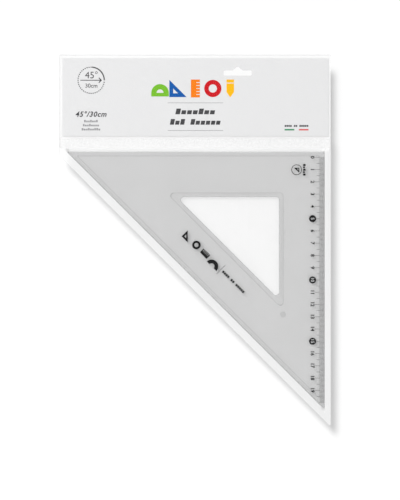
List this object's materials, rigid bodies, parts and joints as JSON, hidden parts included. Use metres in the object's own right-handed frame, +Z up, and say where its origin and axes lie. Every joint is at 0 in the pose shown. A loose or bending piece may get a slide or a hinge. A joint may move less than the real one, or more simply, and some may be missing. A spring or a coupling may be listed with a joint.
{
  "type": "set square",
  "caption": "Smoke-tinted 45 degree set square with a printed centimetre scale, in a film hanging bag with a header card, hang slot and closing flap.",
  "frame": {"origin": "centre of a peg seated in the top of the hang slot, at the front film's outer face", "axes": "+Z up as the pack hangs, +X to the right as the print is read, -Y out of the printed front"},
  "size_m": [0.2213, 0.0034, 0.3034],
  "materials": {
    "smoke_plastic": "clear smoke-grey injection-moulded plastic, polished faces",
    "black_ink": "screen-printed black ink",
    "clear_film": "clear glossy polypropylene film",
    "back_film": "slightly milky polypropylene film",
    "welded_film": "film fused and knurled by the sealing bar",
    "melted_bead": "film melted by the hot knife",
    "white_card": "coated white board",
    "grey_ink": "offset-printed dark grey ink",
    "light_grey_ink": "offset-printed light grey ink",
    "red_ink": "offset-printed red ink",
    "yellow_ink": "offset-printed yellow ink",
    "blue_ink": "offset-printed blue ink",
    "orange_ink": "offset-printed orange ink",
    "green_ink": "offset-printed green ink",
    "dark_green_ink": "offset-printed dark green ink",
    "adhesive": "clear pressure-sensitive adhesive"
  },
  "bodies": {
    "bag": {"front_film": "clear_film", "header_back_film": "back_film", "pocket_back_film": "back_film", "pocket_left_wall": "back_film", "pocket_slanted_wall": "back_film", "pocket_right_wall": "back_film", "pocket_left_rim": "back_film", "pocket_slanted_rim": "back_film", "pocket_right_rim": "back_film", "header_weld": "welded_film", "edge_bead": "melted_bead", "header_card": "white_card", "icon_dotted_ring": "grey_ink", "icon_arc": "grey_ink", "icon_arrow": "grey_ink", "icon_figures": "grey_ink", "size_figures": "grey_ink", "small_lines": "grey_ink", "title_lines": "grey_ink", "origin_line": "grey_ink", "title_rules": "light_grey_ink", "symbol_circle": "red_ink", "origin_red_bar": "red_ink", "symbol_pencil": "yellow_ink", "symbol_set_square": "blue_ink", "symbol_ruler": "orange_ink", "symbol_protractor": "green_ink", "origin_green_bar": "dark_green_ink"},
    "set_square": {"plate": "smoke_plastic", "millimetre_ticks": "black_ink", "half_centimetre_ticks": "black_ink", "centimetre_ticks": "black_ink", "scale_numerals": "black_ink", "numeral_badges": "black_ink", "plate_symbols": "black_ink", "plate_divider": "black_ink", "plate_small_print": "black_ink", "plate_seal": "black_ink", "plate_side_print": "black_ink"},
    "flap": {"closing_flap": "back_film", "adhesive_strip": "adhesive"}
  },
  "joints": [
    {"name": "set_square_slide", "type": "slide", "parent": "bag", "child": "set_square", "axis": [0, 0, 1], "range_m": [0, 0.3]},
    {"name": "flap_hinge", "type": "hinge", "parent": "bag", "child": "flap", "pos_m": [0, 0.00322, -0.052], "axis": [-1, 0, 0], "range_deg": [0, 160]}
  ],
  "couplings": [
    {"joint": "flap_hinge", "follows": "set_square_slide", "rad_per_m": 9.3}
  ]
}
